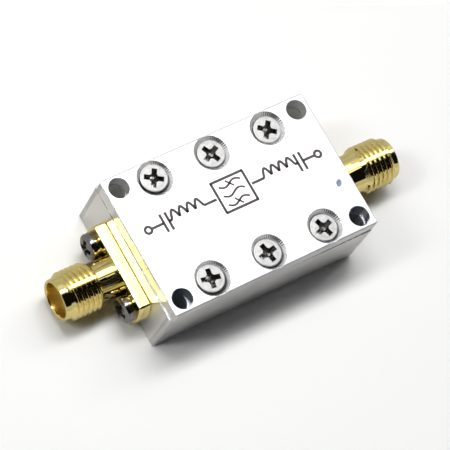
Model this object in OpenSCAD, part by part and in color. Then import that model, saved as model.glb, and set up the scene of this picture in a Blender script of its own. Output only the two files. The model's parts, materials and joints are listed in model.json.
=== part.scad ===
// Coaxial band-pass filter: a small milled housing with a screwed lid, a two-hole flange jack on
// each end, and a lumped filter circuit on a board inside. Millimetres, lid up. The origin is the
// middle of the housing's underside, +X points at the output jack and +Y at the back long side.

/* [Housing] */
// Length of the housing between its two end faces
box_l = 30; // [27:0.5:45]
// Width of the housing between its two long sides
box_w = 19.2; // [18.4:0.2:30]
// Height of the milled case, up to the joint with the lid
case_h = 8.8; // [7.8:0.1:14]
// Thickness of the lid
lid_t = 2.05; // [1.7:0.05:4]
// Thickness of the end walls, which carry the jacks
end_wall = 4; // [3.8:0.1:6]
// Thickness of the long walls, which take the lid screws
side_wall = 4.6; // [3.9:0.1:5.2]
// Radius that the cutter leaves in the pocket's corners
pocket_r = 1.5; // [0.5:0.1:3]
// Radius of the housing's upright edges
edge_r = 0.35; // [0.1:0.05:1]
// Radius of the edges round the lid's top and the case's underside
top_r = 0.2; // [0.05:0.05:0.4]
// Radius of the edges on both sides of the joint
joint_r = 0.1; // [0.05:0.05:0.3]

/* [Mounting holes] */
// Diameter of the four holes that go right through lid and case
mount_d = 2.7; // [2:0.1:2.9]
// Distance from an end face to a mounting hole's axis
mount_inset_x = 1.86; // [1.6:0.02:2.4]
// Distance from a long side to a mounting hole's axis
mount_inset_y = 1.74; // [1.6:0.02:1.9]

/* [Lid screws] */
// Distance between neighbouring lid screws in a row
lid_screw_pitch = 8.35; // [6:0.05:8.6]
// Distance from a long side to a row of lid screws
lid_screw_inset = 2.43; // [2.35:0.01:2.6]
// Diameter of a lid screw's countersunk head
lid_head_d = 3.6; // [3.4:0.1:3.8]
// Height of the straight land round the countersunk head
lid_head_land = 0.15; // [0.1:0.05:0.2]
// Depth of a head below the lid's surface, where the screw is central in its countersink
lid_head_sink = 0.38; // [0.3:0.01:0.45]
// Length of a lid screw from its head's face to its tip
lid_screw_l = 6; // [4:0.5:7]
// How far each lid screw's cross is turned, from left to right, back row first
lid_cross_turn = [59, 27, 53, 80, 11, 20]; // [0:1:90]

/* [Lid fit] */
// Gap between a lid screw and its hole in the lid, on the radius, in which the lid can shift
lid_play = 0.22; // [0.1:0.01:0.25]
// Shares of that play by which the lid has slipped along X and along Y
lid_slip = [0.3, -0.2]; // [-0.3:0.1:0.3]
// Share of that play by which a turn of the lid has moved the holes of its corner screws
lid_turn = 0.55; // [-0.55:0.05:0.55]

/* [Screw threads] */
// Outside diameter of the lid screws' thread
lid_screw_d = 1.96; // [1.6:0.02:2]
// Outside diameter of the flange screws' thread
flange_screw_d = 1.66; // [1.4:0.02:1.8]
// Outside diameter of the board screws' thread
board_screw_d = 1.56; // [1.2:0.02:1.7]
// Gap between a thread and its tapped hole, on the radius
tap_gap = 0.02; // [0.01:0.01:0.05]
// Gap between a screw and a plain hole that it passes through, on the radius
pass_gap = 0.1; // [0.05:0.01:0.15]
// Depth of each tapped hole beyond the screw's tip
tap_relief = 0.3; // [0.1:0.1:0.6]

/* [Jacks] */
// Height of the jacks' axes above the underside
axis_z = 3.75; // [3.55:0.05:4.6]
// Sideways place of the input jack
input_y = -0.25; // [-1.2:0.05:1.2]
// Sideways place of the output jack
output_y = -0.75; // [-1.2:0.05:1.2]
// Radius of the rounded ends of a flange, from the jack's axis
flange_r = 6.5; // [6.3:0.1:7]
// Height of a flange between its two flats
flange_h = 5.3; // [4.4:0.1:6.6]
// Thickness of a flange
flange_t = 1.65; // [1.2:0.05:2.5]
// Distance between a flange's two screws
flange_pitch = 8.9; // [8.8:0.05:9.1]
// Diameter of the smooth barrel behind the thread
barrel_d = 5.3; // [4.9:0.1:5.9]
// Outside diameter of the coupling thread
thread_d = 6.35; // [6.1:0.05:6.9]
// Distance from the end face to the start of the thread's rear chamfer
thread_from = 4.45; // [3.5:0.05:6]
// Distance from the end face to the end of the full thread
thread_to = 8.45; // [7.5:0.05:8.8]
// Diameter of the smooth rim in front of the thread
rim_d = 5.45; // [5.2:0.05:5.8]
// Distance from the end face to the jack's front
jack_reach = 9.7; // [9.4:0.05:13]
// Diameter of the mouth that the plug's sleeve enters
mouth_d = 4.6; // [4.4:0.05:4.9]
// Depth of the mouth down to the insulator
mouth_depth = 1.9; // [1.5:0.1:2.6]
// Diameter of the insulator
insulator_d = 4.1; // [3.6:0.1:4.2]
// Gap between the insulator and its bore in the case, on the radius
insulator_gap = 0.05; // [0.02:0.01:0.1]
// Diameter of the centre contact
contact_d = 1.27; // [1.15:0.01:1.5]
// Diameter of the contact's socket, for the plug's pin
socket_d = 0.95; // [0.8:0.01:1]
// Depth of the contact's socket
socket_depth = 2.6; // [1.8:0.1:4]
// Width of the two crossed slots that make the socket springy
slot_w = 0.15; // [0.1:0.01:0.2]
// Length of those slots
slot_l = 2; // [1:0.1:2.4]
// Diameter of the contact's tail, which is soldered to the board
tail_d = 0.9; // [0.7:0.05:1]
// Length of the tail inside the pocket
tail_l = 1.9; // [1:0.1:2]

/* [Flange screws] */
// Diameter of a flange screw's pan head
pan_head_d = 3.5; // [2.8:0.1:3.5]
// Height of the pan head
pan_head_h = 1.4; // [1.2:0.05:1.8]
// Radius of the pan head's crown
pan_crown_r = 5; // [3.5:0.5:9]
// Height of the pan head's straight side
pan_side_h = 1; // [0.7:0.05:1.1]
// Length of a flange screw under its head
flange_screw_l = 5; // [4:0.1:5.2]
// How far each flange screw's cross is turned, input side first
flange_cross_turn = [20, 35, 25, 60]; // [0:1:90]

/* [Cross recess] */
// Width of the recess across opposite arms
cross_span = 2.5; // [1.6:0.1:2.6]
// Width of an arm
cross_arm = 0.65; // [0.4:0.05:0.8]
// Depth of the arms
cross_depth = 0.7; // [0.4:0.05:0.9]

/* [Circuit board] */
// Thickness of the board
board_t = 0.8; // [0.6:0.1:1.2]
// Gap between the board and the pocket's walls
board_gap = 0.2; // [0.1:0.05:0.4]
// Thickness of the copper, with its tin coat
copper_t = 0.05; // [0.03:0.01:0.1]
// Width of the signal tracks
track_w = 1.5; // [1.3:0.1:1.8]
// Gap between the signal tracks and the ground copper
copper_gap = 0.4; // [0.2:0.05:0.5]
// Distance that all copper keeps from the board's edge
copper_margin = 0.25; // [0.1:0.05:0.5]
// Distance between neighbouring series capacitors
stage_pitch = 4.8; // [4.7:0.1:6.3]

/* [Board screws] */
// Distance along the board from a contact's tip to a board screw's head
board_head_gap = 0.1; // [0.1:0.05:0.4]
// Distance from the board's long edge to a board screw
board_screw_inset_y = 1.3; // [1.25:0.05:1.6]
// Diameter of a board screw's head
board_head_d = 2.4; // [2.2:0.1:2.8]
// Height of a board screw's head
board_head_h = 0.9; // [0.6:0.1:1.2]
// Length of a board screw under its head
board_screw_l = 2.6; // [2:0.1:2.6]

/* [Filter parts] */
// Length of a chip capacitor
chip_l = 2; // [1.6:0.1:2.2]
// Width of a chip capacitor
chip_w = 1.25; // [0.8:0.05:1.4]
// Height of a chip capacitor
chip_h = 0.8; // [0.5:0.05:1.2]
// Length of a chip capacitor's metal end
chip_end = 0.4; // [0.3:0.05:0.5]
// Height that the metal ends stand proud of the ceramic, on each face
chip_proud = 0.03; // [0.01:0.01:0.05]
// Radius of a coil, to the middle of its wire
coil_r = 1.1; // [0.8:0.05:1.2]
// Diameter of the coil wire
wire_d = 0.5; // [0.3:0.05:0.6]
// Distance between neighbouring turns of a coil
coil_pitch = 0.72; // [0.65:0.01:0.85]
// Whole turns of a coil, before the half turn that ends it
coil_turns = 3; // [2:1:3]
// Height of a coil above the copper
coil_lift = 0.2; // [0.1:0.05:0.5]
// Thickness of the solder round a contact's tail
solder_t = 0.22; // [0.1:0.02:0.3]
// Thickness of the solder film between a contact's tail and its track
solder_film = 0.05; // [0.03:0.01:0.1]

/* [Hidden] */
$fn = 64;

aluminium = "#c9cacb";
gilt_brass = "#c9ab4e";
fluoropolymer = "#f4f3ee";
nickel_steel = "#8e8f91";
board_green = "#2f6b45";
copper_red = "#b8734a";
tin_grey = "#c4c6c4";
ceramic_tan = "#b79a74";

// A cut runs this far past the faces that it opens
over = 1;
// Gap that keeps a head's cone from cutting into its countersink where they touch
seat_gap = 0.01;

// Housing: the pocket and the holes that lid and case share
pocket_l = box_l - 2 * end_wall;
pocket_w = box_w - 2 * side_wall;
mount_x = box_l / 2 - mount_inset_x;
mount_y = box_w / 2 - mount_inset_y;
lid_screw_y = box_w / 2 - lid_screw_inset;
lid_tap_d = lid_screw_d + 2 * tap_gap;
lid_pass_d = lid_screw_d + 2 * lid_play;
lid_top = case_h + lid_t;
lid_head_z = lid_top - lid_head_sink;
sink_d = lid_head_d + 2 * (lid_head_sink + lid_head_land);
lid_tap_depth = lid_screw_l - lid_t + lid_head_sink + tap_relief;

// The lid as it was fitted: turned a little and slipped a little, which its screws' holes allow
lid_angle = lid_turn * lid_play / norm([lid_screw_pitch, lid_screw_y]) * 180 / PI;
lid_shift = lid_play * lid_slip;
function turned(p, a) = [p[0] * cos(a) - p[1] * sin(a), p[0] * sin(a) + p[1] * cos(a)];
function off_centre(p) = norm(turned(p, lid_angle) + lid_shift - p);

// Board: its copper lies a solder film under the contacts' tails, and it lies on the pocket's floor
copper_top = axis_z - tail_d / 2 - solder_film;
board_top = copper_top - copper_t;
floor_z = board_top - board_t;
board_l = pocket_l - 2 * board_gap;
board_w = pocket_w - 2 * board_gap;
board_screw_x = pocket_l / 2 - tail_l - board_head_gap - board_head_d / 2;
board_screw_y = board_w / 2 - board_screw_inset_y;
board_head_z = copper_top;
board_tap_d = board_screw_d + 2 * tap_gap;
board_pass_d = board_screw_d + 2 * pass_gap;
board_tap_depth = board_screw_l - board_t - copper_t + tap_relief;

// Signal path: input track, two inner nodes and output track, as [x from, x to, y from, y to]
middle_y = (input_y + output_y) / 2;
track_end = board_l / 2 - copper_margin;
chip_inner = chip_l / 2 - chip_end;
tracks = [
    [-track_end, -stage_pitch - chip_inner, input_y - track_w / 2, input_y + track_w / 2],
    [-stage_pitch + chip_inner, -chip_inner,
        min(input_y, middle_y) - track_w / 2, max(input_y, middle_y) + track_w / 2],
    [chip_inner, stage_pitch - chip_inner,
        min(middle_y, output_y) - track_w / 2, max(middle_y, output_y) + track_w / 2],
    [stage_pitch + chip_inner, track_end, output_y - track_w / 2, output_y + track_w / 2]
];
input_node = tracks[1];
output_node = tracks[2];

// Chip capacitors as [x, y, turn]: three in series along the path, one to ground at each node
function shunt_chip(n) = [(n[0] + n[1]) / 2, n[2] + chip_end - chip_l / 2, 90];
chips = [
    [-stage_pitch, input_y, 0],
    [0, middle_y, 0],
    [stage_pitch, output_y, 0],
    shunt_chip(input_node),
    shunt_chip(output_node)
];

// Coil wire: up from its node's track, round the turns, and down to the ground copper
coil_sides = 8;
steps_a_turn = 20;
coil_z = copper_top + coil_lift + coil_r + wire_d / 2;
coil_steps = steps_a_turn * coil_turns + steps_a_turn / 2;
function coil_point(i) = let (a = 360 * i / steps_a_turn)
    [coil_r * cos(a), coil_pitch * i / steps_a_turn, coil_z + coil_r * sin(a)];
coil_path = concat(
    [[coil_r, 0, copper_top]],
    [for (i = [0 : coil_steps]) coil_point(i)],
    [[-coil_r, coil_pitch * coil_steps / steps_a_turn, copper_top]]
);

// Direction of a path at its point i, and the ring of wire points there
function unit(v) = v / norm(v);
function heading(p, i) =
    i == 0 ? [0, 0, 1] : i == len(p) - 1 ? [0, 0, -1] : unit(p[i + 1] - p[i - 1]);
function ring(p, i, r, n) =
    let (t = heading(p, i), side = [0, 1, 0], u = unit(cross(side, t)), v = cross(t, u))
    [for (k = [0 : n - 1]) p[i] + r * (cos(360 * k / n) * u + sin(360 * k / n) * v)];

// A tube along a path, with flat ends
module wire(p, r, n) {
    last = len(p) - 1;
    polyhedron(
        points = [for (i = [0 : last]) each ring(p, i, r, n)],
        faces = concat(
            [[for (k = [0 : n - 1]) k]],
            [for (i = [0 : last - 1], k = [0 : n - 1])
                [i * n + k, (i + 1) * n + k, (i + 1) * n + (k + 1) % n, i * n + (k + 1) % n]],
            [[for (k = [n - 1 : -1 : 0]) last * n + k]]
        )
    );
}

// Repeats its children at the four corners of a rectangle
module corners(x, y) {
    for (sx = [-1, 1], sy = [-1, 1]) translate([sx * x, sy * y, 0]) children();
}

// A rectangle with its own radius at the lower and at the upper corners, standing on y = 0
module round_face(l, h, low_r, high_r) {
    for (m = [0, 1]) mirror([m, 0]) {
        translate([0, low_r]) square([l / 2, h - low_r - high_r]);
        square([l / 2 - low_r, low_r]);
        translate([0, h - high_r]) square([l / 2 - high_r, high_r]);
        translate([l / 2 - low_r, low_r]) circle(r = low_r);
        translate([l / 2 - high_r, h - high_r]) circle(r = high_r);
    }
}

// A plate or block with round upright edges, standing on z = 0
module round_block(l, w, h, r) {
    translate([0, -w / 2, 0]) linear_extrude(h) round_face(l, w, r, r);
}

// The same block with its lower and its upper edges rounded too
module soft_block(l, w, h, r, low_r, high_r) {
    intersection() {
        round_block(l, w, h, r);
        translate([0, w / 2 + over, 0]) rotate([90, 0, 0])
            linear_extrude(w + 2 * over) round_face(l, h, low_r, high_r);
        translate([-l / 2 - over, 0, 0]) rotate([90, 0, 90])
            linear_extrude(l + 2 * over) round_face(w, h, low_r, high_r);
    }
}

// The four mounting holes, through everything between two heights
module mount_holes(z0, z1) {
    translate([0, 0, z0 - over]) corners(mount_x, mount_y)
        cylinder(d = mount_d, h = z1 - z0 + 2 * over);
}

// Puts its children at each lid screw, with $screw set to the screw's number and $off to how far the
// fitted lid's countersink lies from the screw's axis
module at_lid_screws() {
    for (row = [0, 1], col = [-1, 0, 1]) {
        place = [col * lid_screw_pitch, (row == 0 ? 1 : -1) * lid_screw_y];
        $screw = row * 3 + col + 1;
        $off = off_centre(place);
        translate(place) children();
    }
}

// Stands its children on an end face with their +Z pointing out along a jack's axis, which is on
// the origin, and their +X pointing along the flange
module on_end(side, y) {
    translate([side * box_l / 2, y, axis_z]) rotate([0, side * 90, 0])
        rotate([0, 0, 90]) children();
}
module at_input() { on_end(-1, input_y) children(); }
module at_output() { on_end(1, output_y) children(); }

// Puts its children at a flange's two screws, with $screw set to the screw's number
module at_flange_screws() {
    for (s = [0, 1]) {
        $screw = s;
        translate([(s - 1 / 2) * flange_pitch, 0, 0]) children();
    }
}

// The bore for the insulator and the tapped holes for the flange screws, cut inwards from z = 0
module jack_cuts() {
    translate([0, 0, -end_wall - over])
        cylinder(d = insulator_d + 2 * insulator_gap, h = end_wall + 2 * over);
    flange_tap_depth = flange_screw_l - flange_t + tap_relief;
    at_flange_screws() translate([0, 0, -flange_tap_depth])
        cylinder(d = flange_screw_d + 2 * tap_gap, h = flange_tap_depth + over);
}

// A cross recess sunk below z = 0: two crossed arms whose ends slope inwards to one arm's width
// from the axis, round a tapered core
module cross_recess(turn) {
    reach = cross_span / 2;
    arm_side = [
        [-reach, over], [-reach, 0], [-cross_arm, -cross_depth],
        [cross_arm, -cross_depth], [reach, 0], [reach, over]
    ];
    for (a = [turn, turn + 90]) rotate([90, 0, a])
        translate([0, 0, -cross_arm / 2]) linear_extrude(cross_arm) polygon(arm_side);
    translate([0, 0, -cross_depth])
        cylinder(d1 = cross_arm, d2 = 2 * cross_arm, h = cross_depth + over);
}

// The milled case: a block with a pocket for the board, open at the top
module case() {
    color(aluminium) difference() {
        soft_block(box_l, box_w, case_h, edge_r, top_r, joint_r);
        translate([0, 0, floor_z])
            round_block(pocket_l, pocket_w, case_h - floor_z + over, pocket_r);
        mount_holes(0, case_h);
        at_lid_screws() translate([0, 0, case_h - lid_tap_depth])
            cylinder(d = lid_tap_d, h = lid_tap_depth + over);
        at_input() jack_cuts();
        at_output() jack_cuts();
        translate([0, 0, floor_z - board_tap_depth]) corners(board_screw_x, board_screw_y)
            cylinder(d = board_tap_d, h = board_tap_depth + over);
    }
}

// The lid: a flat plate with six countersunk holes and the four mounting holes, as it was fitted
module lid() {
    color(aluminium) translate(lid_shift) rotate([0, 0, lid_angle]) difference() {
        translate([0, 0, case_h]) soft_block(box_l, box_w, lid_t, edge_r, joint_r, top_r);
        mount_holes(case_h, lid_top);
        at_lid_screws() {
            translate([0, 0, case_h - over]) cylinder(d = lid_pass_d, h = lid_t + 2 * over);
            translate([0, 0, lid_top - sink_d / 2]) cylinder(d1 = 0, d2 = sink_d, h = sink_d / 2);
            translate([0, 0, lid_top]) cylinder(d = sink_d, h = over);
        }
    }
}

// A countersunk screw with its head's face on z = 0, pointing down
module countersunk_screw(turn) {
    head_h = lid_head_land + (lid_head_d - lid_screw_d) / 2;
    point_h = lid_screw_d / 4;
    difference() {
        rotate_extrude() polygon([
            [0, 0], [lid_head_d / 2, 0], [lid_head_d / 2, -lid_head_land],
            [lid_screw_d / 2, -head_h], [lid_screw_d / 2, point_h - lid_screw_l],
            [lid_screw_d / 2 - point_h, -lid_screw_l], [0, -lid_screw_l]
        ]);
        cross_recess(turn);
    }
}

// The lid's screws: in a cone of 90 degrees, a head that is off centre stands higher by as much
module lid_screws() {
    color(nickel_steel) at_lid_screws() translate([0, 0, lid_head_z + $off + seat_gap])
        countersunk_screw(lid_cross_turn[$screw]);
}

// A flange jack's body, standing on its flange's back: flange, barrel, coupling thread and rim in
// one turned piece, bored for the insulator and wider at the mouth
module jack_body() {
    thread_chamfer = (thread_d - barrel_d) / 2;
    rim_step = (thread_d - rim_d) / 2;
    rim_break = (rim_d - mouth_d) / 8;
    difference() {
        union() {
            intersection() {
                cylinder(r = flange_r, h = flange_t);
                translate([-flange_r - over, -flange_h / 2, 0])
                    cube([2 * (flange_r + over), flange_h, flange_t]);
            }
            rotate_extrude() polygon([
                [0, 0], [barrel_d / 2, 0], [barrel_d / 2, thread_from],
                [thread_d / 2, thread_from + thread_chamfer], [thread_d / 2, thread_to],
                [rim_d / 2, thread_to + rim_step], [rim_d / 2, jack_reach - rim_break],
                [rim_d / 2 - rim_break, jack_reach], [0, jack_reach]
            ]);
        }
        translate([0, 0, -over]) cylinder(d = insulator_d, h = jack_reach);
        translate([0, 0, jack_reach - mouth_depth]) cylinder(d = mouth_d, h = mouth_depth + over);
        translate([0, 0, jack_reach - rim_break])
            cylinder(d1 = mouth_d, d2 = mouth_d + 4 * rim_break, h = 2 * rim_break);
        at_flange_screws() translate([0, 0, -over])
            cylinder(d = flange_screw_d + 2 * pass_gap, h = flange_t + 2 * over);
    }
}

module input_jack() { color(gilt_brass) at_input() jack_body(); }
module output_jack() { color(gilt_brass) at_output() jack_body(); }

// The insulator: a bush from the foot of the mouth through flange and wall to the pocket
module insulator() {
    insulator_l = jack_reach - mouth_depth + end_wall;
    translate([0, 0, -end_wall]) difference() {
        cylinder(d = insulator_d, h = insulator_l);
        translate([0, 0, -over]) cylinder(d = contact_d, h = insulator_l + 2 * over);
    }
}

module input_insulator() { color(fluoropolymer) at_input() insulator(); }
module output_insulator() { color(fluoropolymer) at_output() insulator(); }

// The centre contact: a slotted socket at the mouth, a plain rod, and a thinner soldered tail
module contact() {
    front = jack_reach - mouth_depth;
    difference() {
        union() {
            translate([0, 0, -end_wall]) cylinder(d = contact_d, h = front + end_wall);
            translate([0, 0, -end_wall - tail_l]) cylinder(d = tail_d, h = tail_l + over);
        }
        translate([0, 0, front - socket_depth]) cylinder(d = socket_d, h = socket_depth + over);
        for (a = [45, 135]) rotate([0, 0, a])
            translate([-contact_d, -slot_w / 2, front - slot_l])
                cube([2 * contact_d, slot_w, slot_l + over]);
    }
}

module input_contact() { color(gilt_brass) at_input() contact(); }
module output_contact() { color(gilt_brass) at_output() contact(); }

// A pan-head screw with its head's seat on z = 0: straight side, rounded shoulder, low crown
module pan_screw(turn) {
    head_r = pan_head_d / 2;
    crown_z = pan_head_h - pan_crown_r;
    shoulder_r = pan_head_h - pan_side_h;
    point_h = flange_screw_d / 4;
    difference() {
        union() {
            intersection() {
                union() {
                    cylinder(r = head_r, h = pan_side_h);
                    rotate_extrude() {
                        square([head_r - shoulder_r, pan_head_h]);
                        translate([head_r - shoulder_r, pan_side_h]) intersection() {
                            circle(r = shoulder_r);
                            square(shoulder_r);
                        }
                    }
                }
                translate([0, 0, crown_z]) sphere(r = pan_crown_r);
            }
            translate([0, 0, point_h - flange_screw_l])
                cylinder(d = flange_screw_d, h = flange_screw_l - point_h);
            translate([0, 0, -flange_screw_l])
                cylinder(d1 = flange_screw_d - 2 * point_h, d2 = flange_screw_d, h = point_h);
        }
        translate([0, 0, pan_head_h]) cross_recess(turn);
    }
}

// A flange's two screws, whose crosses start at the given place in the list of turns
module flange_screws(first) {
    at_flange_screws() translate([0, 0, flange_t]) pan_screw(flange_cross_turn[first + $screw]);
}

module input_flange_screws() { color(nickel_steel) at_input() flange_screws(0); }
module output_flange_screws() { color(nickel_steel) at_output() flange_screws(2); }

// The board, screwed down on the pocket's floor
module circuit_board() {
    corner_r = max(pocket_r - board_gap, board_gap);
    color(board_green) difference() {
        translate([0, 0, floor_z]) round_block(board_l, board_w, board_t, corner_r);
        translate([0, 0, floor_z - over]) corners(board_screw_x, board_screw_y)
            cylinder(d = board_pass_d, h = board_t + 2 * over);
    }
}

// One signal track, grown by a gap on every side
module track(t, gap, z, h) {
    translate([t[0] - gap, t[2] - gap, z])
        cube([t[1] - t[0] + 2 * gap, t[3] - t[2] + 2 * gap, h]);
}

// The ground copper: the board's outline, cleared round the signal tracks and the chips in series
module ground_copper() {
    color(copper_red) difference() {
        translate([0, 0, board_top]) round_block(board_l - 2 * copper_margin,
            board_w - 2 * copper_margin, copper_t, max(pocket_r - board_gap - copper_margin, 0.1));
        for (t = tracks) track(t, copper_gap, board_top - over, copper_t + 2 * over);
        for (i = [0 : 2]) translate([chips[i][0], chips[i][1], board_top])
            cube([chip_l, track_w + 2 * copper_gap, 2 * over], center = true);
        for (s = [-1, 1]) translate([s * track_end, s < 0 ? input_y : output_y, board_top])
            cube([2 * over, track_w + 2 * copper_gap, 2 * over], center = true);
        translate([0, 0, board_top - over]) corners(board_screw_x, board_screw_y)
            cylinder(d = board_pass_d, h = copper_t + 2 * over);
    }
}

module signal_tracks() {
    color(copper_red) for (t = tracks) track(t, 0, board_top, copper_t);
}

// A low cheese-head screw with its head's seat on z = 0 and one straight slot
module board_screw() {
    slot = board_head_d / 6;
    difference() {
        union() {
            cylinder(d = board_head_d, h = board_head_h);
            translate([0, 0, -board_screw_l]) cylinder(d = board_screw_d, h = board_screw_l);
        }
        translate([-board_head_d, -slot / 2, board_head_h / 2])
            cube([2 * board_head_d, slot, board_head_h]);
    }
}

module board_screws() {
    color(nickel_steel) translate([0, 0, board_head_z]) corners(board_screw_x, board_screw_y)
        board_screw();
}

// Puts its children at each chip, lying along X
module at_chips() {
    for (c = chips) translate([c[0], c[1], copper_top]) rotate([0, 0, c[2]]) children();
}

// The ceramic between the metal ends of each capacitor
module capacitor_bodies() {
    body_l = chip_l - 2 * chip_end;
    color(ceramic_tan) at_chips() translate([-body_l / 2, -chip_w / 2 + chip_proud, chip_proud])
        cube([body_l, chip_w - 2 * chip_proud, chip_h - 2 * chip_proud]);
}

module capacitor_ends() {
    color(tin_grey) at_chips() for (s = [-1, 1])
        translate([s * (chip_l - chip_end) / 2 - chip_end / 2, -chip_w / 2, 0])
            cube([chip_end, chip_w, chip_h]);
}

// A coil on its node: one leg on the node's track, the other on the ground copper behind it
module coil(n) {
    color(copper_red) translate([(n[0] + n[1]) / 2, n[3] - wire_d, 0])
        wire(coil_path, wire_d / 2, coil_sides);
}

module input_coil() { coil(input_node); }
module output_coil() { coil(output_node); }

// Solder round a contact's tail, from the track's end to near the tail's tip: a bead with tapered
// ends, cut flat where it lies on the track
module solder() {
    bead_r = tail_d / 2 + solder_t;
    bead_l = tail_l - 2 * board_gap - copper_margin;
    taper = bead_l / 4;
    difference() {
        translate([0, 0, -end_wall - tail_l + board_gap]) {
            cylinder(r1 = tail_d / 2, r2 = bead_r, h = taper);
            translate([0, 0, taper]) cylinder(r = bead_r, h = bead_l - 2 * taper);
            translate([0, 0, bead_l - taper]) cylinder(r1 = bead_r, r2 = tail_d / 2, h = taper);
        }
        translate([0, 0, -end_wall - tail_l - over]) cylinder(d = tail_d, h = tail_l + 2 * over);
    }
}

// The half-space above the copper
module above_copper() {
    translate([-box_l, -box_w, copper_top]) cube([2 * box_l, 2 * box_w, box_w]);
}

module input_solder() {
    color(tin_grey) intersection() { at_input() solder(); above_copper(); }
}
module output_solder() {
    color(tin_grey) intersection() { at_output() solder(); above_copper(); }
}

case();
lid();
lid_screws();
input_jack();
output_jack();
input_insulator();
output_insulator();
input_contact();
output_contact();
input_flange_screws();
output_flange_screws();
circuit_board();
ground_copper();
signal_tracks();
board_screws();
capacitor_bodies();
capacitor_ends();
input_coil();
output_coil();
input_solder();
output_solder();
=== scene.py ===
# %% [markdown]
# # A coaxial band-pass filter
#
# The object is a small block of aluminium with a screwed lid. A gold-plated coaxial jack is
# screwed to each end. The solid model already has every piece at its real size, so this lesson
# gives them their finishes. It also remakes the pieces whose fine detail the solid model leaves
# out or simplifies: the jacks with their cut threads, and the screws with their cross recesses.

# %% Load the solid model
import json
import math

import bpy
from mathutils import Matrix, Vector

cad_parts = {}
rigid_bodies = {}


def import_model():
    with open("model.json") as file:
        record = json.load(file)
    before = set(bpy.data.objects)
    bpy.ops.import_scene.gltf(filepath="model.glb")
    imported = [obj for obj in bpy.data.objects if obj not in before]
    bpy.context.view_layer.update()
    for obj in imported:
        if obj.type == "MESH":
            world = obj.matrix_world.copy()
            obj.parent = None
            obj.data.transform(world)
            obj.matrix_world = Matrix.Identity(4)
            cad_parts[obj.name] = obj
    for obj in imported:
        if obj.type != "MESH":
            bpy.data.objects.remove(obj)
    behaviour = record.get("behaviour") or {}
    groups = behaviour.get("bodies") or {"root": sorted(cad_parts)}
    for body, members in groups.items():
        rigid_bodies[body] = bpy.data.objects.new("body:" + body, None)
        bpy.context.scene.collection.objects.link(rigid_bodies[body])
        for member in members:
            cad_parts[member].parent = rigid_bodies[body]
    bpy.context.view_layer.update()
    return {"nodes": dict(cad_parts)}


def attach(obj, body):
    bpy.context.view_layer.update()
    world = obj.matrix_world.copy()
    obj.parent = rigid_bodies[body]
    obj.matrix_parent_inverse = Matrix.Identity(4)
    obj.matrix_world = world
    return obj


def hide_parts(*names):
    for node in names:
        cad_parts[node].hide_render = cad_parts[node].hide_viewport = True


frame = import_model()
MM = 0.001

# %% [markdown]
# ## Helpers for finishes
#
# Colours are written as the hex values of a colour picker, which are sRGB. Shaders calculate with
# linear light, so one function turns one into the other. Another adds one shader node, gives it
# its settings, and links or fills its inputs. Where two inputs of a node have the same name, they
# are given by their place in its list. A Mix node has its two numbers at 2 and 3 and its two
# colours at 6 and 7, and gives the mixed colour at output 2.
#
# Marks of a known size are a stretched noise, so one function turns sizes in millimetres into
# repeats in a metre. Where a broad noise chooses between two values, its middle range, from 0.35
# to 0.65, is spread over the whole share from 0 to 1.

# %% Colour and node helpers
NUMBER_A = 2
NUMBER_B = 3
COLOUR_A = 6
COLOUR_B = 7
MIXED_COLOUR = 2
NOISE_LOW = 0.35
NOISE_HIGH = 0.65


def linear(hex_colour):
    parts = [int(hex_colour[i:i + 2], 16) / 255 for i in (0, 2, 4)]
    return [c / 12.92 if c <= 0.04045 else ((c + 0.055) / 1.055) ** 2.4 for c in parts] + [1.0]


def add_node(tree, kind, inputs, **settings):
    node = tree.nodes.new(kind)
    for name, value in settings.items():
        setattr(node, name, value)
    for name, value in inputs.items():
        if isinstance(value, bpy.types.NodeSocket):
            tree.links.new(value, node.inputs[name])
        else:
            node.inputs[name].default_value = value
    return node


def start_material(name):
    material = bpy.data.materials.new(name)
    material.use_nodes = True
    material.node_tree.nodes.clear()
    return material, material.node_tree


def per_metre(sizes):
    return [1 / (size * MM) for size in sizes]


# %% [markdown]
# ## Plain finishes
#
# Most finishes here differ in a few things only: the tone and the roughness wander a little from
# place to place, and the surface has fine marks of a known size and depth. One function makes
# such a finish. A broad noise chooses between two near colours and between two near values of
# roughness. A second noise, stretched to the marks' own length, width and height, drives the
# bump. All sizes are in millimetres on the part, so a mark keeps its real size on any piece.

# %% A function for plain finishes
def make_finish(name, colours, roughness, tone_size, mark_size, mark_depth, metallic=0.0):
    material, tree = start_material(name)
    place = add_node(tree, "ShaderNodeTexCoord", {})
    tone = add_node(tree, "ShaderNodeTexNoise", {
        "Vector": place.outputs["Object"], "Scale": 1 / (tone_size * MM), "Detail": 3.0})
    share = add_node(tree, "ShaderNodeMapRange", {
        "Value": tone.outputs["Fac"], "From Min": NOISE_LOW, "From Max": NOISE_HIGH})
    colour = add_node(tree, "ShaderNodeMix", {
        "Factor": share.outputs[0], COLOUR_A: linear(colours[0]), COLOUR_B: linear(colours[1])},
        data_type="RGBA")
    rough = add_node(tree, "ShaderNodeMix", {
        "Factor": share.outputs[0], NUMBER_A: roughness[0], NUMBER_B: roughness[1]},
        data_type="FLOAT")
    stretch = add_node(tree, "ShaderNodeMapping", {
        "Vector": place.outputs["Object"], "Scale": per_metre(mark_size)})
    marks = add_node(tree, "ShaderNodeTexNoise", {
        "Vector": stretch.outputs[0], "Scale": 1.0, "Detail": 2.0})
    relief = add_node(tree, "ShaderNodeBump", {
        "Height": marks.outputs["Fac"], "Strength": 1.0, "Distance": mark_depth * MM})
    shader = add_node(tree, "ShaderNodeBsdfPrincipled", {
        "Base Color": colour.outputs[MIXED_COLOUR], "Roughness": rough.outputs[0],
        "Metallic": metallic, "Normal": relief.outputs[0]})
    add_node(tree, "ShaderNodeOutputMaterial", {"Surface": shader.outputs[0]})
    print("made", name)
    return material


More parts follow.
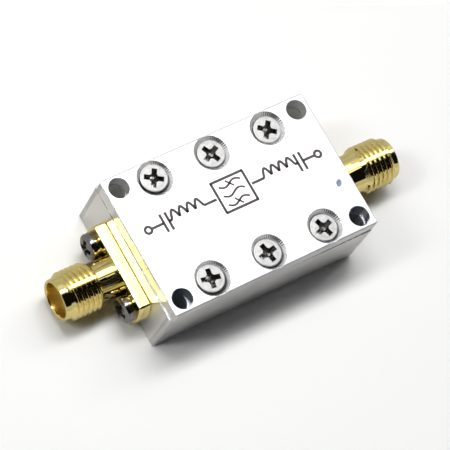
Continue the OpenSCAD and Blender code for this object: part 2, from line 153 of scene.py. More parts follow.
# %% [markdown]
# ## Gold-plated brass
#
# The jacks are turned from brass bar and plated with gold over nickel. Plating copies the
# tool's fine rings, about 0.06 mm apart, and fills the finest of them, so the surface is nearly a
# mirror, with a crisp edge between the lamps' images and the dark between them. The rings run
# round the jacks' axis, so the marks are fine along X and broad across it. Gold's own colour
# tints every reflection, and grooves that reflect each other twice look deeper.
# Deep in the mouth the plating is thin and duller. Its colour there is also painted darker and
# browner, which is painted shade inside the mouth.

# %% Make the gold plating
RINGS = (0.06, 3.0, 3.0)
gold_plate = make_finish(
    "gold_plated_brass", ("E8D68A", "F0DF98"), roughness=(0.03, 0.06),
    tone_size=1.5, mark_size=RINGS, mark_depth=0.00015, metallic=1.0)
# Painted shade: a darker, browner copy of the gold for the bore.
shaded_bore_plate = make_finish(
    "thin_gold_with_painted_bore_shade", ("D0B054", "DABC62"), roughness=(0.25, 0.35),
    tone_size=1.5, mark_size=RINGS, mark_depth=0.00015, metallic=1.0)

# %% [markdown]
# ## Nickel-plated steel
#
# The screws are cold-headed steel wire with a nickel coat, which is greyer and a little warmer
# than aluminium. The lid's screws are satin and cloudy on their faces. The flanges' screws have a
# glossier coat with small dents from the heading tool, which break their highlights up. Their coat
# is also painted darker than the lid's screws', which is painted shade from the shaded area they
# reflect.
# The punch that presses a cross recess leaves its walls smooth and slightly dented. Their colour
# is painted darker than the head's, which is painted shade in the recess, so the recess is mostly
# black with a few sparks of light.

# %% Make the nickel finishes
DENTS = (0.3, 0.3, 0.3)
satin_nickel = make_finish(
    "satin_nickel_plate", ("8E8D8D", "B1B0AF"), roughness=(0.4, 0.55),
    tone_size=0.7, mark_size=DENTS, mark_depth=0.006, metallic=1.0)
# Painted shade: a darker copy of the nickel for the flanges' screws.
nickel_with_painted_shade = make_finish(
    "nickel_plate_with_painted_shade", ("7C7B7C", "949393"), roughness=(0.1, 0.2),
    tone_size=0.5, mark_size=DENTS, mark_depth=0.005, metallic=1.0)
# Painted shade: a darker nickel for the recess walls.
shaded_recess_nickel = make_finish(
    "nickel_recess_with_painted_shade", ("6A6968", "8A8988"), roughness=(0.2, 0.34),
    tone_size=0.3, mark_size=DENTS, mark_depth=0.03, metallic=1.0)

# %% [markdown]
# ## Fluoropolymer, solder, copper and ceramic
#
# These show only deep in a jack's mouth or with the lid off. The insulator is a waxy white
# fluoropolymer that light enters a little way. Copper has a rosy colour with duller, tarnished
# patches. Solder is bright tin whose surface froze in soft waves. The capacitors' ceramic is
# matt, with a grain drawn coarser than the real one so that it shows.

# %% Make the inner finishes
WAX_SHARE = 0.25
WAX_DEPTH = 0.4
fluoropolymer = make_finish(
    "white_fluoropolymer", ("EDEBE4", "F6F5F0"), roughness=(0.38, 0.5),
    tone_size=0.8, mark_size=DENTS, mark_depth=0.002)
for node in fluoropolymer.node_tree.nodes:
    if node.bl_idname == "ShaderNodeBsdfPrincipled":
        node.inputs["Subsurface Weight"].default_value = WAX_SHARE
        node.inputs["Subsurface Scale"].default_value = WAX_DEPTH * MM
bare_copper = make_finish(
    "rolled_copper", ("B9765A", "D8957A"), roughness=(0.22, 0.4),
    tone_size=0.6, mark_size=(3.0, 0.1, 0.1), mark_depth=0.001, metallic=1.0)
tin_solder = make_finish(
    "frozen_tin_solder", ("BFC1C2", "DADBDC"), roughness=(0.12, 0.26),
    tone_size=0.3, mark_size=DENTS, mark_depth=0.02, metallic=1.0)
fired_ceramic = make_finish(
    "fired_ceramic", ("AE916C", "BDA27E"), roughness=(0.55, 0.7),
    tone_size=0.12, mark_size=(0.1, 0.1, 0.1), mark_depth=0.002)

# %% [markdown]
# ## Print and ink
#
# The lid carries a dark print in a thin, matt ink, and one dab of a marker pen beside it. Ink
# on bare metal is a little uneven, so its tone wanders over half a millimetre.

# %% Make the inks
INK_GRAIN = (0.2, 0.2, 0.2)
print_ink = make_finish(
    "printing_ink", ("3B3433", "4F4847"), roughness=(0.5, 0.65),
    tone_size=0.5, mark_size=INK_GRAIN, mark_depth=0.001)
marker_ink = make_finish(
    "marker_ink", ("7C86A0", "99A1B6"), roughness=(0.5, 0.65),
    tone_size=0.5, mark_size=INK_GRAIN, mark_depth=0.001)

# %% [markdown]
# ## The printed board's laminate
#
# The board is woven glass in resin, so a fine chequer of threads 0.5 mm apart shows through its
# green tint.

# %% Make the laminate
WEAVE_SIZE = 0.5
WEAVE_DEPTH = 0.01
glass_laminate, tree = start_material("green_glass_laminate")
place = add_node(tree, "ShaderNodeTexCoord", {})
threads = add_node(tree, "ShaderNodeTexChecker", {
    "Vector": place.outputs["Object"], "Color1": linear("3C7A50"), "Color2": linear("33694A"),
    "Scale": 1 / (WEAVE_SIZE * MM)})
relief = add_node(tree, "ShaderNodeBump", {
    "Height": threads.outputs["Fac"], "Strength": 0.3, "Distance": WEAVE_DEPTH * MM})
shader = add_node(tree, "ShaderNodeBsdfPrincipled", {
    "Base Color": threads.outputs["Color"], "Roughness": 0.4, "Normal": relief.outputs[0]})
add_node(tree, "ShaderNodeOutputMaterial", {"Surface": shader.outputs[0]})
print("made", glass_laminate.name)

# %% [markdown]
# ## The sizes of the housing
#
# Materials and pieces below are placed by these sizes of the solid model, in millimetres from
# the middle of the underside. The lid was screwed on a little turned and slipped, as its screws'
# holes allow, so what belongs to the lid is placed by the lid's own middle.

# %% Name the housing's sizes
BOX_L = 30.0
JOINT_Z = 8.8
LID_TOP = 10.85
LID_ANGLE = math.radians(0.63)
LID_SHIFT = (0.066, -0.044)
MOUNT_PLACE = (13.14, 7.86)
MOUNT_R = 1.35
SCREW_PLACE = (8.35, 7.17)
SINK_R = 2.33
lid_place = (Matrix.Translation((LID_SHIFT[0] * MM, LID_SHIFT[1] * MM, 0))
             @ Matrix.Rotation(LID_ANGLE, 4, "Z"))

# %% [markdown]
# ## Drilled walls and countersinks
#
# Two kinds of face on the aluminium are not milled. The walls of the four corner holes are
# drilled, and the countersinks are cut by a tool that chatters, which leaves ripples round each
# cone. Real ripples are finer: 48 are drawn, and deeper than real, so that they show. Both kinds
# are found by their distance from the nearest axis. All four holes fall together when X and Y
# are made positive, and all six screws when Y is made positive and X is wrapped to one screw
# pitch. A little slack on each radius keeps the wall itself inside it.
#
# The countersinks' test ends just below the lid's top but has no lower end. So it also takes in
# the metal below them, and six pale discs show on the part's underside, where none should be.

# %% Find the drilled walls and the countersinks
WALL_SLACK = 0.02
TOP_SLACK = 0.01
RIPPLES = 48.0


def find_drilled(tree, own):
    positive = add_node(tree, "ShaderNodeVectorMath", {0: own}, operation="ABSOLUTE")
    from_mount = add_node(tree, "ShaderNodeVectorMath", {
        0: positive.outputs[0], 1: [v * MM for v in MOUNT_PLACE] + [0]}, operation="SUBTRACT")
    flat = add_node(tree, "ShaderNodeVectorMath", {
        0: from_mount.outputs[0], 1: (1, 1, 0)}, operation="MULTIPLY")
    distance = add_node(tree, "ShaderNodeVectorMath", {0: flat.outputs[0]}, operation="LENGTH")
    drilled = add_node(tree, "ShaderNodeMath", {
        0: distance.outputs["Value"], 1: (MOUNT_R + WALL_SLACK) * MM}, operation="LESS_THAN")
    return drilled.outputs[0]


def find_countersunk(tree, parts):
    wrapped = add_node(tree, "ShaderNodeMath", {
        0: parts.outputs["X"], 1: SCREW_PLACE[0] / 2 * MM, 2: -SCREW_PLACE[0] / 2 * MM},
        operation="WRAP")
    across = add_node(tree, "ShaderNodeMath", {0: parts.outputs["Y"]}, operation="ABSOLUTE")
    from_row = add_node(tree, "ShaderNodeMath", {
        0: across.outputs[0], 1: SCREW_PLACE[1] * MM}, operation="SUBTRACT")
    flat = add_node(tree, "ShaderNodeCombineXYZ", {
        "X": wrapped.outputs[0], "Y": from_row.outputs[0]})
    distance = add_node(tree, "ShaderNodeVectorMath", {0: flat.outputs[0]}, operation="LENGTH")
    near_axis = add_node(tree, "ShaderNodeMath", {
        0: distance.outputs["Value"], 1: (SINK_R + WALL_SLACK) * MM}, operation="LESS_THAN")
    below_top = add_node(tree, "ShaderNodeMath", {
        0: parts.outputs["Z"], 1: (LID_TOP - TOP_SLACK) * MM}, operation="LESS_THAN")
    countersunk = add_node(tree, "ShaderNodeMath", {
        0: near_axis.outputs[0], 1: below_top.outputs[0]}, operation="MULTIPLY")
    angle_round = add_node(tree, "ShaderNodeMath", {
        0: from_row.outputs[0], 1: wrapped.outputs[0]}, operation="ARCTAN2")
    ripple_angle = add_node(tree, "ShaderNodeMath", {
        0: angle_round.outputs[0], 1: RIPPLES}, operation="MULTIPLY")
    ripples = add_node(tree, "ShaderNodeMath", {0: ripple_angle.outputs[0]}, operation="SINE")
    return countersunk.outputs[0], ripples.outputs[0]


# %% [markdown]
# ## Painted shade in the joint
#
# Along the joint between case and lid, the walls get a thin, broken, dark line, here 0.14 mm
# wide, which is about what the picture can show. It is painted shade, standing for the shade in
# the narrow gap. Faces that look up or down get no line.

# %% Find the painted shade in the joint
JOINT_LINE = 0.14
LEVEL = 0.9
SPECK_SIZE = 0.5
SPECK_LEVEL = 0.42


# Painted shade: the mask of a broken dark line along the joint's gap.
def find_joint_shade(tree, own, parts, upward):
    from_joint = add_node(tree, "ShaderNodeMath", {
        0: parts.outputs["Z"], 1: JOINT_Z * MM}, operation="SUBTRACT")
    distance = add_node(tree, "ShaderNodeMath", {0: from_joint.outputs[0]}, operation="ABSOLUTE")
    at_joint = add_node(tree, "ShaderNodeMath", {
        0: distance.outputs[0], 1: JOINT_LINE / 2 * MM}, operation="LESS_THAN")
    on_wall = add_node(tree, "ShaderNodeMath", {0: upward, 1: LEVEL}, operation="LESS_THAN")
    wall_joint = add_node(tree, "ShaderNodeMath", {
        0: at_joint.outputs[0], 1: on_wall.outputs[0]}, operation="MULTIPLY")
    specks = add_node(tree, "ShaderNodeTexNoise", {
        "Vector": own, "Scale": 1 / (SPECK_SIZE * MM)})
    broken_line = add_node(tree, "ShaderNodeMath", {
        0: specks.outputs["Fac"], 1: SPECK_LEVEL}, operation="GREATER_THAN")
    joint_shade = add_node(tree, "ShaderNodeMath", {
        0: wall_joint.outputs[0], 1: broken_line.outputs[0]}, operation="MULTIPLY")
    return joint_shade.outputs[0]


# %% [markdown]
# ## Milled aluminium
#
# The case and the lid are cut from aluminium bar and left bare. A sharp cutter leaves faint
# lines about 0.1 mm apart along X, and a drill leaves rings round its hole. The solid model
# rounds the block's own edges but leaves the holes' rims sharp, so a Bevel node rounds every edge
# by 0.2 mm in the shading, and the bump is laid over that.
#
# The flat faces were rubbed down after milling, so they are satin. The end faces are smoother and
# mirror the gold beside them, and the long sides are in between. A broad noise makes some patches
# a touch duller, as handling does. Smeared chips make the drilled walls shine only partly. The
# walls of the two holes on the near side get a darker colour, which is painted shade.
#
# The lid's material measures from the lid's own middle: a Mapping node undoes the lid's place.

# %% Mix the relief
CUTTER_LINES = (10, 0.1, 0.1)
CUTTER_DEPTH = 0.0005
DRILL_RINGS = (3, 3, 0.2)
RIPPLE_DEPTH = 0.01
BROKEN_EDGE = 0.2


def mix_relief(tree, own, drilled, countersunk, ripples):
    line_stretch = add_node(tree, "ShaderNodeMapping", {
        "Vector": own, "Scale": per_metre(CUTTER_LINES)})
    lines = add_node(tree, "ShaderNodeTexNoise", {
        "Vector": line_stretch.outputs[0], "Scale": 1.0, "Detail": 2.0})
    ring_stretch = add_node(tree, "ShaderNodeMapping", {
        "Vector": own, "Scale": per_metre(DRILL_RINGS)})
    rings = add_node(tree, "ShaderNodeTexNoise", {"Vector": ring_stretch.outputs[0], "Scale": 1.0})
    milled_or_drilled = add_node(tree, "ShaderNodeMix", {
        "Factor": drilled, NUMBER_A: lines.outputs["Fac"], NUMBER_B: rings.outputs["Fac"]},
        data_type="FLOAT")
    height = add_node(tree, "ShaderNodeMix", {
        "Factor": countersunk, NUMBER_A: milled_or_drilled.outputs[0], NUMBER_B: ripples},
        data_type="FLOAT")
    depth = add_node(tree, "ShaderNodeMix", {
        "Factor": countersunk, NUMBER_A: CUTTER_DEPTH * MM, NUMBER_B: RIPPLE_DEPTH * MM},
        data_type="FLOAT")
    broken = add_node(tree, "ShaderNodeBevel", {"Radius": BROKEN_EDGE * MM})
    relief = add_node(tree, "ShaderNodeBump", {
        "Height": height.outputs[0], "Strength": 1.0, "Distance": depth.outputs[0],
        "Normal": broken.outputs[0]})
    return relief.outputs[0]


# %% Mix the roughness
FACE_ROUGHNESS = (0.44, 0.47)
END_ROUGHNESS = 0.25
LONG_SIDE_ROUGHNESS = 0.42
HOLE_ROUGHNESS = 0.12
SINK_ROUGHNESS = 0.26
UPRIGHT = 0.1


def mix_roughness(tree, share, facing, upward, drilled, countersunk):
    faces = add_node(tree, "ShaderNodeMix", {
        "Factor": share, NUMBER_A: FACE_ROUGHNESS[0], NUMBER_B: FACE_ROUGHNESS[1]},
        data_type="FLOAT")
    upright = add_node(tree, "ShaderNodeMath", {0: upward, 1: UPRIGHT}, operation="LESS_THAN")
    sideways = add_node(tree, "ShaderNodeMath", {0: facing.outputs["Y"]}, operation="ABSOLUTE")
    sides = add_node(tree, "ShaderNodeMapRange", {
        "Value": sideways.outputs[0], "To Min": END_ROUGHNESS, "To Max": LONG_SIDE_ROUGHNESS})
    milled = add_node(tree, "ShaderNodeMix", {
        "Factor": upright.outputs[0], NUMBER_A: faces.outputs[0], NUMBER_B: sides.outputs[0]},
        data_type="FLOAT")
    with_holes = add_node(tree, "ShaderNodeMix", {
        "Factor": drilled, NUMBER_A: milled.outputs[0], NUMBER_B: HOLE_ROUGHNESS},
        data_type="FLOAT")
    with_sinks = add_node(tree, "ShaderNodeMix", {
        "Factor": countersunk, NUMBER_A: with_holes.outputs[0], NUMBER_B: SINK_ROUGHNESS},
        data_type="FLOAT")
    return with_sinks.outputs[0]


# %% Mix the colour
def mix_tint(tree, share, parts, drilled, countersunk, joint_shade):
    milled = add_node(tree, "ShaderNodeMix", {
        "Factor": share, COLOUR_A: linear("CFD0D3"), COLOUR_B: linear("DADBDD")},
        data_type="RGBA")
    # Painted shade: the walls of the near holes (Y below 0) get a darker colour.
    near_hole_shade = add_node(tree, "ShaderNodeMath", {0: parts.outputs["Y"], 1: 0.0}, operation="LESS_THAN")
    hole = add_node(tree, "ShaderNodeMix", {
        "Factor": near_hole_shade.outputs[0], COLOUR_A: linear("FAFAF8"), COLOUR_B: linear("B0B7BE")},
        data_type="RGBA")
    hole_or_sink = add_node(tree, "ShaderNodeMix", {
        "Factor": countersunk, COLOUR_A: hole.outputs[MIXED_COLOUR], COLOUR_B: linear("F4F5F5")},
        data_type="RGBA")
    fresh = add_node(tree, "ShaderNodeMath", {0: drilled, 1: countersunk}, operation="MAXIMUM")
    before_joint_shade = add_node(tree, "ShaderNodeMix", {
        "Factor": fresh.outputs[0], COLOUR_A: milled.outputs[MIXED_COLOUR],
        COLOUR_B: hole_or_sink.outputs[MIXED_COLOUR]}, data_type="RGBA")
    # Painted shade: the joint's broken line is painted dark grey.
    tint = add_node(tree, "ShaderNodeMix", {
        "Factor": joint_shade, COLOUR_A: before_joint_shade.outputs[MIXED_COLOUR], COLOUR_B: linear("5C5B5C")},
        data_type="RGBA")
    return tint.outputs[MIXED_COLOUR]


# %% Make the milled aluminium
PATCH_SIZE = 4
CHIP_SHEEN = 0.65


def make_milled(name, shift, angle):
    material, tree = start_material(name)
    place = add_node(tree, "ShaderNodeTexCoord", {})
    mapping = add_node(tree, "ShaderNodeMapping", {
        "Vector": place.outputs["Object"], "Location": (shift[0] * MM, shift[1] * MM, 0),
        "Rotation": (0, 0, angle)}, vector_type="TEXTURE")
    own = mapping.outputs[0]
    parts = add_node(tree, "ShaderNodeSeparateXYZ", {"Vector": own})
    face = add_node(tree, "ShaderNodeNewGeometry", {})
    facing = add_node(tree, "ShaderNodeSeparateXYZ", {"Vector": face.outputs["True Normal"]})
    steepness = add_node(tree, "ShaderNodeMath", {0: facing.outputs["Z"]}, operation="ABSOLUTE")
    upward = steepness.outputs[0]
    patches = add_node(tree, "ShaderNodeTexNoise", {"Vector": own, "Scale": 1 / (PATCH_SIZE * MM)})
    spread = add_node(tree, "ShaderNodeMapRange", {
        "Value": patches.outputs["Fac"], "From Min": NOISE_LOW, "From Max": NOISE_HIGH})
    share = spread.outputs[0]
    drilled = find_drilled(tree, own)
    countersunk, ripples = find_countersunk(tree, parts)
    joint_shade = find_joint_shade(tree, own, parts, upward)
    sheen = add_node(tree, "ShaderNodeMix", {
        "Factor": drilled, NUMBER_A: 1.0, NUMBER_B: CHIP_SHEEN}, data_type="FLOAT")
    shader = add_node(tree, "ShaderNodeBsdfPrincipled", {
        "Base Color": mix_tint(tree, share, parts, drilled, countersunk, joint_shade),
        "Metallic": sheen.outputs[0],
        "Roughness": mix_roughness(tree, share, facing, upward, drilled, countersunk),
        "Normal": mix_relief(tree, own, drilled, countersunk, ripples)})
    add_node(tree, "ShaderNodeOutputMaterial", {"Surface": shader.outputs[0]})
    print("made", name)
    return material


case_aluminium = make_milled("milled_aluminium_case", (0, 0), 0)
lid_aluminium = make_milled("milled_aluminium_lid", LID_SHIFT, LID_ANGLE)

# %% [markdown]
# ## Finishes for the solid model's own pieces
#
# Pieces whose solid shape is right keep it, and only get their finish.

# %% Give the carried-over nodes their finishes
finishes = {
    "case": case_aluminium, "lid": lid_aluminium,
    "input_insulator": fluoropolymer, "output_insulator": fluoropolymer,
    "input_contact": gold_plate, "output_contact": gold_plate,
    "circuit_board": glass_laminate,
    "ground_copper": bare_copper, "signal_tracks": bare_copper,
    "input_coil": bare_copper, "output_coil": bare_copper,
    "board_screws": satin_nickel,
    "capacitor_bodies": fired_ceramic, "capacitor_ends": tin_solder,
    "input_solder": tin_solder, "output_solder": tin_solder,
}
for name, finish in finishes.items():
    node = frame["nodes"][name]
    node.data.materials.clear()
    node.data.materials.append(finish)
print("finished", len(finishes), "nodes")

# %% [markdown]
# ## A small lathe
#
# Most of the new pieces are turned parts. A ring of points is added at the first station of the
# profile, and then it is pulled along Z and scaled, station by station, as one would do by hand
# with E and S. A closed profile comes back to its first ring, which makes a bored piece; an open
# one gets a face on each end. A station is its height and its radius, in millimetres.

# %% Lathe and cutting helpers
WELD_GAP = 0.002


def select_only(piece):
    bpy.ops.object.select_all(action="DESELECT")
    piece.select_set(True)
    bpy.context.view_layer.objects.active = piece


def edit_all():
    bpy.ops.object.mode_set(mode="EDIT")
    bpy.ops.mesh.select_all(action="SELECT")


def close_edit():
    bpy.ops.mesh.normals_make_consistent(inside=False)
    bpy.ops.object.mode_set(mode="OBJECT")


def turn(name, stations, sides=96, bored=False):
    if bored:
        stations = stations + [stations[0]]
    z, r = stations[0]
    bpy.ops.mesh.primitive_circle_add(vertices=sides, radius=r * MM, location=(0, 0, z * MM))
    piece = bpy.context.object
    piece.name = name
    bpy.ops.object.transform_apply(location=True, rotation=True, scale=True)
    edit_all()
    for (z0, r0), (z1, r1) in zip(stations, stations[1:]):
        bpy.ops.mesh.extrude_region_move(TRANSFORM_OT_translate={"value": (0, 0, (z1 - z0) * MM)})
        bpy.ops.transform.resize(value=(r1 / r0, r1 / r0, 1), center_override=(0, 0, 0))
    bpy.ops.mesh.select_all(action="SELECT")
    if bored:
        bpy.ops.mesh.remove_doubles(threshold=WELD_GAP * MM)
    else:
        bpy.ops.mesh.fill_holes(sides=0)
    close_edit()
    return piece


def combine(piece, tool, operation):
    select_only(piece)
    step = piece.modifiers.new(operation.lower(), "BOOLEAN")
    step.operation = operation
    step.solver = "EXACT"
    step.object = tool
    bpy.ops.object.modifier_apply(modifier=step.name)
    bpy.data.objects.remove(tool, do_unlink=True)


def smooth(piece, degrees=35):
    select_only(piece)
    bpy.ops.object.shade_smooth_by_angle(angle=math.radians(degrees))
    weigh = piece.modifiers.new("weigh_normals", "WEIGHTED_NORMAL")
    weigh.keep_sharp = True
    bpy.ops.object.modifier_apply(modifier=weigh.name)


def put(piece, place):
    select_only(piece)
    piece.matrix_world = place
    bpy.ops.object.transform_apply(location=True, rotation=True, scale=True)


def copy_of(piece, name):
    select_only(piece)
    bpy.ops.object.duplicate(linked=False)
    copy = bpy.context.object
    copy.name = name
    copy.data.name = name
    return copy


# %% [markdown]
# ## The jack's turned body
#
# On the real jack one lathe job makes the barrel, the thread's blank with a chamfer at each
# end, the smooth rim and the mouth. Its edges are broken with a file, so the profile rounds its
# outer corners with stations close together, which catch a thin line of light.

# %% Turn the blank
THREAD_R = 3.175
BARREL_R = 2.65
RIM_R = 2.725
MOUTH_R = 2.3
BORE_R = 2.05
BLANK_FROM = 0.6
MOUTH_FOOT = 7.8
REACH = 9.7
jack_profile = [
    (BLANK_FROM, BORE_R), (BLANK_FROM, BARREL_R), (4.42, BARREL_R), (4.47, 2.67),
    (4.93, 3.13), (4.99, 3.17), (5.05, THREAD_R), (8.38, THREAD_R), (8.44, 3.165), (8.5, 3.12),
    (8.86, 2.75), (8.92, RIM_R), (9.5, RIM_R), (9.6, 2.7), (9.66, 2.66), (REACH, 2.59),
    (REACH, 2.46), (9.66, 2.38), (9.6, 2.33), (9.52, MOUTH_R),
    (MOUTH_FOOT, MOUTH_R), (MOUTH_FOOT, BORE_R),
]
blank = turn("jack_blank", jack_profile, bored=True)
print("blank:", len(blank.data.vertices), "points")

# %% [markdown]
# ## Cutting the thread
#
# A quarter-inch thread with 36 turns to the inch has a pitch of 0.7056 mm. On a lathe a V-shaped
# tool cuts one helical groove. The same is done here: the groove's cross-section is drawn as an
# outline, the Screw modifier sweeps it up a helix, its two ends are closed, and a Boolean takes
# it out of the blank. The section is half the outline, from the groove's foot outwards, and each
# point is its radius and its half width. It flares at the top, which rounds the crests off,
# because it is the rounded crest that shows as a bright stripe.

# %% Cut the thread
THREAD_PITCH = 0.7056
GROOVE_FROM = 4.3
GROOVE_TURNS = 7
STEPS_A_TURN = 72
groove_section = [
    (2.84, 0.03), (2.86, 0.06), (3.13, 0.2), (3.158, 0.225), (3.172, 0.25), (3.24, 0.272)]
outline = [(r, -h) for r, h in groove_section] + [(r, h) for r, h in reversed(groove_section)]
bpy.ops.mesh.primitive_plane_add(size=0.1 * MM)
cutter = bpy.context.object
cutter.name = "thread_cutter"
edit_all()
bpy.ops.mesh.merge(type="CENTER")
bpy.ops.transform.translate(value=(outline[0][0] * MM, 0, outline[0][1] * MM))
for (r0, h0), (r1, h1) in zip(outline, outline[1:]):
    bpy.ops.mesh.extrude_region_move(
        TRANSFORM_OT_translate={"value": ((r1 - r0) * MM, 0, (h1 - h0) * MM)})
bpy.ops.mesh.select_all(action="SELECT")
bpy.ops.mesh.edge_face_add()
bpy.ops.mesh.delete(type="ONLY_FACE")
bpy.ops.object.mode_set(mode="OBJECT")
sweep = cutter.modifiers.new("helix", "SCREW")
sweep.axis = "Z"
sweep.steps = STEPS_A_TURN
sweep.render_steps = STEPS_A_TURN
sweep.iterations = GROOVE_TURNS
sweep.screw_offset = THREAD_PITCH * MM
sweep.use_merge_vertices = False
bpy.ops.object.modifier_apply(modifier=sweep.name)
edit_all()
bpy.ops.mesh.fill_holes(sides=0)
bpy.ops.mesh.normals_make_consistent(inside=False)
bpy.ops.transform.translate(value=(0, 0, GROOVE_FROM * MM))
bpy.ops.object.mode_set(mode="OBJECT")
combine(blank, cutter, "DIFFERENCE")
print("threaded blank:", len(blank.data.polygons), "faces")

# %% [markdown]
# ## The flange
#
# The flange is a slice of the same bar, 13 mm across, with two flats milled on it and two screw
# holes drilled. A cylinder primitive is bisected at the flats and its edges get a fine bevel.
# The holes are cut with turned pins, and the flange is joined to the barrel with a union, because
# the two are one piece of metal. The insulator's bore is cut through both at the end.

# %% Make the flange and join it
FLANGE_R = 6.5
FLANGE_T = 1.65
FLANGE_H = 5.3
FLANGE_BEVEL = 0.28
SCREW_Y = 4.45
SCREW_HOLE_R = 0.93
FLANGE_BORE_R = 2.3
PIN_FROM = -1
PIN_TO = 3
BORE_PIN_TO = 7.7
bpy.ops.mesh.primitive_cylinder_add(vertices=160, radius=FLANGE_R * MM, depth=FLANGE_T * MM,
                                    location=(0, 0, FLANGE_T / 2 * MM))
flange = bpy.context.object
flange.name = "flange"
bpy.ops.object.transform_apply(location=True, rotation=True, scale=True)
bpy.ops.object.mode_set(mode="EDIT")
for side in (-1, 1):
    bpy.ops.mesh.select_all(action="SELECT")
    bpy.ops.mesh.bisect(plane_co=(0, side * FLANGE_H / 2 * MM, 0), plane_no=(0, side, 0),
                        use_fill=True, clear_outer=True)
bpy.ops.mesh.select_all(action="SELECT")
close_edit()
broken_edges = flange.modifiers.new("broken_edges", "BEVEL")
broken_edges.width = FLANGE_BEVEL * MM
broken_edges.segments = 3
broken_edges.limit_method = "ANGLE"
broken_edges.angle_limit = math.radians(40)
bpy.ops.object.modifier_apply(modifier=broken_edges.name)
for side in (-1, 1):
    pin = turn("screw_hole", [(PIN_FROM, SCREW_HOLE_R), (PIN_TO, SCREW_HOLE_R)], sides=48)
    put(pin, Matrix.Translation((side * SCREW_Y * MM, 0, 0)))
    combine(flange, pin, "DIFFERENCE")
combine(flange, turn("bore", [(PIN_FROM, FLANGE_BORE_R), (PIN_TO, FLANGE_BORE_R)]), "DIFFERENCE")
combine(blank, flange, "UNION")
combine(blank, turn("insulator_bore", [(PIN_FROM, BORE_R), (BORE_PIN_TO, BORE_R)]), "DIFFERENCE")
smooth(blank, degrees=38)
print("jack body:", len(blank.data.polygons), "faces")

# %% [markdown]
# ## Placing the jacks
#
# The body was made standing on its flange. One matrix turns its axis along X, lays the flange
# along Y and moves it to its end face. Each jack is a rigid turn of the same body, never a mirror
# image, because both threads are right-handed. Faces inside the bore, up to just below the rim's
# rounded edge, get the thinner plating, whose darker, browner colour is painted shade.

# %% Place the two jacks
AXIS_Z = 3.75
JACK_Y = {"input": -0.25, "output": -0.75}
THIN_PLATE_R = 2.31
THIN_PLATE_TO = 9.6


def on_end(end):
    side = -1 if end == "input" else 1
    return (Matrix.Translation((side * BOX_L / 2 * MM, JACK_Y[end] * MM, AXIS_Z * MM))
            @ Matrix.Rotation(side * math.pi / 2, 4, "Y") @ Matrix.Rotation(math.pi / 2, 4, "Z"))


blank.data.materials.clear()
blank.data.materials.append(gold_plate)
blank.data.materials.append(shaded_bore_plate)
# Painted shade: bore faces take the darker, browner gold.
for face in blank.data.polygons:
    from_axis = math.hypot(face.center.x, face.center.y)
    in_bore = from_axis < THIN_PLATE_R * MM and face.center.z < THIN_PLATE_TO * MM
    face.material_index = 1 if in_bore else 0
for end in ("input", "output"):
    jack = copy_of(blank, end + "_threaded_jack")
    put(jack, on_end(end))
    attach(jack, "root")
    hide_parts(end + "_jack")
    print("placed", jack.name)
bpy.data.objects.remove(blank, do_unlink=True)

# %% [markdown]
# ## The cross recess
#
# A cross recess is pressed by a punch with four tapering wings round a tapering core. The punch
# is made here the right way up: a cube is stretched to one pair of wings that starts at the
# head's face, its lower face is scaled in, and its upper face is pulled up so that the cut opens
# cleanly. A second pair is turned a quarter, and a cone makes the core, which reaches a little
# deeper than the wings. Each head is then cut with it. The punch's faces have the second material
# slot, and the cut takes it over, so that the recess gets its own finish.
#
# The wings' lower end is given as shares of their span and arm, and the core's tip as a share
# of their depth. The core's radii, from its top down, are shares of the arm.

# %% Make the recess punch
WING_END = (0.55, 0.8)
PUNCH_RISE = 0.5
CORE_DEPTH = 1.3
CORE_RADII = (0.98, 0.94, 0.62, 0.1)


def select_faces(piece, wanted):
    bpy.ops.mesh.select_all(action="DESELECT")
    bpy.ops.object.mode_set(mode="OBJECT")
    for face in piece.data.polygons:
        face.select = wanted(face)
    bpy.ops.object.mode_set(mode="EDIT")


def make_wing(span, arm, depth, turned):
    bpy.ops.mesh.primitive_cube_add(size=2 * MM)
    wing = bpy.context.object
    edit_all()
    bpy.ops.transform.resize(value=(span / 2, arm / 2, depth / 2), center_override=(0, 0, 0))
    bpy.ops.transform.translate(value=(0, 0, -depth / 2 * MM))
    select_faces(wing, lambda face: face.normal.z < -0.9)
    bpy.ops.transform.resize(value=(*WING_END, 1), center_override=(0, 0, -depth * MM))
    select_faces(wing, lambda face: face.normal.z > 0.9)
    bpy.ops.mesh.extrude_region_move(TRANSFORM_OT_translate={"value": (0, 0, PUNCH_RISE * MM)})
    bpy.ops.object.mode_set(mode="OBJECT")
    put(wing, Matrix.Rotation(math.radians(turned), 4, "Z"))
    return wing


def make_punch(span, arm, depth):
    punch = make_wing(span, arm, depth, 0)
    punch.name = "punch"
    combine(punch, make_wing(span, arm, depth, 90), "UNION")
    heights = (PUNCH_RISE, 0, -depth, -depth * CORE_DEPTH)
    core_profile = [(z, arm * radius) for z, radius in zip(heights, CORE_RADII)]
    combine(punch, turn("core", core_profile, sides=32), "UNION")
    punch.data.materials.append(satin_nickel)
    # Painted shade: the recess walls take the darker nickel.
    punch.data.materials.append(shaded_recess_nickel)
    for face in punch.data.polygons:
        face.material_index = 1
    return punch


# %% [markdown]
# ## The lid's screws
#
# They are M2 countersunk screws: a flat face 3.6 mm across with a faint turned ring, a thin
# straight land, a 90 degree cone and the shank. One is turned and then copied, and each copy is
# punched at its own angle, because nobody lines screws up. The lid's slip moves each countersink
# sideways from its screw. In a cone of 90 degrees a head that is off centre stands higher by as
# much, so each head's depth is worked out from how far its countersink has moved.

